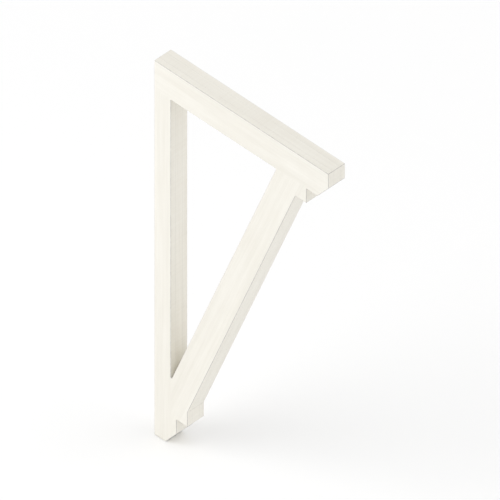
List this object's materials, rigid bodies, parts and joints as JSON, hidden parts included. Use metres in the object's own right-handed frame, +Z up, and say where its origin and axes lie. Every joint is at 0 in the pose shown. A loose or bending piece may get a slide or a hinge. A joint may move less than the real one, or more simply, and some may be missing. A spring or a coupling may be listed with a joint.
{
  "type": "corbel bracket",
  "caption": "Open triangular wall bracket, one piece: a post on the wall, a level arm with a chamfered end and a slanting brace with notched ends.",
  "frame": {"origin": "middle of the flat face that goes against the wall: half way up and half way through the thickness", "axes": "+X straight out from the wall along the arm, +Z up along the post, +Y across the thickness. The face at -Y is the one the picture shows."},
  "size_m": [0.93, 0.089, 1.524],
  "materials": {
    "body": "satin, warm off-white cellular PVC, faces as planed and edges as routed"
  },
  "bodies": {
    "root": {"bracket": "body"}
  },
  "joints": []
}
